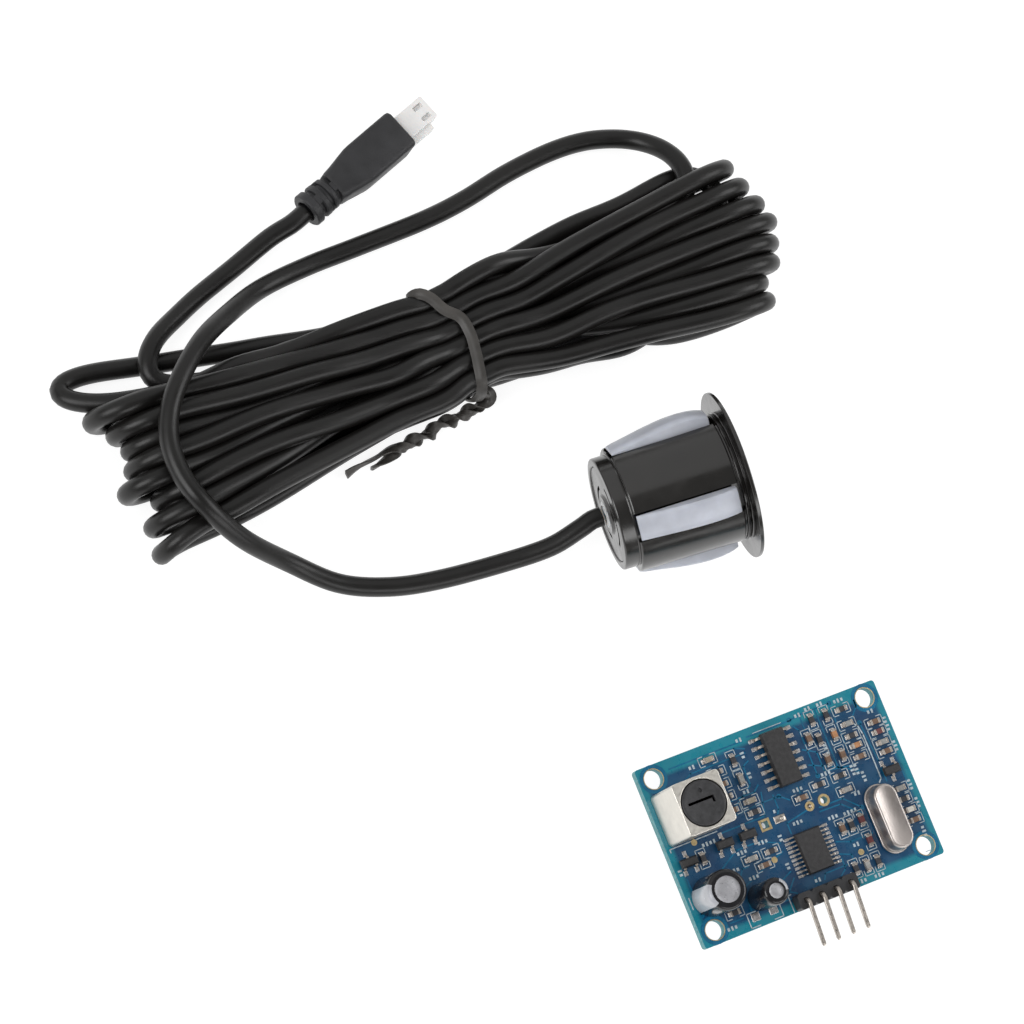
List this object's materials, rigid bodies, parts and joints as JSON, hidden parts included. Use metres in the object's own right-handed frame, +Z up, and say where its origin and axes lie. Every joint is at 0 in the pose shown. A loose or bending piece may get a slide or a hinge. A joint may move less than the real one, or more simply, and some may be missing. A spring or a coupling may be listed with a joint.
{
  "type": "ultrasonic distance sensor",
  "caption": "Flanged waterproof ultrasonic probe on a long thin lead tied in a hank, its moulded plug, and the small driver board that the plug fits.",
  "frame": {"origin": "middle of the base of the box round the probe and the driver board, without the cord and its plug", "axes": "+Z up from the surface everything lies on; +X along the board's long side; +Y from the board towards the probe and the hank"},
  "size_m": [0.121, 0.1432, 0.0256],
  "materials": {
    "probe_black": "glossy moulded",
    "sealant": "smeared silicone",
    "cup_metal": "fine satin",
    "isolation_rubber": "matt",
    "piezo_ceramic": "unglazed",
    "foam": "open cell",
    "potting": "cast",
    "wire_red": "satin",
    "wire_white": "satin",
    "milky_strip": "milky translucent",
    "cord_jacket": "satin extruded",
    "tie_plastic": "satin",
    "plug_moulding": "fine spark-eroded",
    "nylon": "slightly translucent",
    "tinned_metal": "tin plated",
    "board_blue": "solder mask",
    "board_print": "screen printed",
    "gold_plate": "plated",
    "header_plastic": "moulded",
    "can_metal": "nickel plated",
    "copper": "enamelled wire",
    "ferrite": "sintered",
    "quartz": "polished",
    "capacitor_aluminium": "satin",
    "capacitor_sleeve": "shrunk film",
    "chip_epoxy": "moulded epoxy",
    "chip_ceramic": "fired"
  },
  "bodies": {
    "root": {"probe_housing": "probe_black", "probe_rear_cap": "probe_black", "cable_seal": "sealant", "transducer_cup": "cup_metal", "isolation_ring": "isolation_rubber", "piezo_disc": "piezo_ceramic", "damper_foam": "foam", "potting_compound": "potting", "core_wire": "wire_red", "shield_wire": "wire_white", "cord_lead": "cord_jacket", "cord_hank": "cord_jacket", "cord_tail": "cord_jacket", "twist_tie_loop": "tie_plastic", "twist_tie_tail": "tie_plastic", "plug_body": "plug_moulding", "plug_strain_relief": "plug_moulding", "plug_nylon_tip": "nylon", "plug_terminal_1": "tinned_metal", "plug_terminal_2": "tinned_metal", "circuit_board": "board_blue", "header_block": "header_plastic", "header_pin_1": "tinned_metal", "header_pin_2": "tinned_metal", "header_pin_3": "tinned_metal", "header_pin_4": "tinned_metal", "transformer_can": "can_metal", "transformer_bobbin": "header_plastic", "transformer_winding": "copper", "crystal_base": "can_metal", "crystal_can": "can_metal", "quartz_blank": "quartz", "large_capacitor_can": "capacitor_aluminium", "large_capacitor_sleeve": "capacitor_sleeve", "small_capacitor_can": "capacitor_aluminium", "small_capacitor_sleeve": "capacitor_sleeve", "driver_chip": "chip_epoxy", "controller_chip": "chip_epoxy", "transistor_1": "chip_epoxy", "transistor_2": "chip_epoxy", "transistor_3": "chip_epoxy", "transistor_4": "chip_epoxy", "chip_part_1": "chip_ceramic", "chip_part_2": "chip_ceramic", "chip_part_3": "chip_ceramic", "chip_part_4": "chip_ceramic", "chip_part_5": "chip_ceramic", "chip_part_6": "chip_ceramic", "chip_part_7": "chip_ceramic", "chip_part_8": "chip_ceramic", "socket_housing": "nylon", "socket_pin_1": "tinned_metal", "socket_pin_2": "tinned_metal"},
    "strip_1": {"retaining_strip_1": "milky_strip"},
    "strip_2": {"retaining_strip_2": "milky_strip"},
    "strip_3": {"retaining_strip_3": "milky_strip"},
    "strip_4": {"retaining_strip_4": "milky_strip"},
    "core": {"tuning_core": "ferrite"}
  },
  "joints": [
    {"name": "strip_1_press", "type": "slide", "parent": "root", "child": "strip_1", "axis": [-0.1945, -0.4735, 0.859], "range_m": [0, 0.0008], "stiffness_N_per_m": 600},
    {"name": "strip_2_press", "type": "slide", "parent": "root", "child": "strip_2", "axis": [0.036, -0.8786, -0.4762], "range_m": [0, 0.0008], "stiffness_N_per_m": 600},
    {"name": "strip_3_press", "type": "slide", "parent": "root", "child": "strip_3", "axis": [0.1945, 0.4735, -0.859], "range_m": [0, 0.0008], "stiffness_N_per_m": 600},
    {"name": "strip_4_press", "type": "slide", "parent": "root", "child": "strip_4", "axis": [-0.036, 0.8786, 0.4762], "range_m": [0, 0.0008], "stiffness_N_per_m": 600},
    {"name": "core_turn", "type": "hinge", "parent": "root", "child": "core", "pos_m": [-0.0161, -0.0157, 0.015], "axis": [0, 0, 1], "range_deg": [-450, 450]}
  ]
}
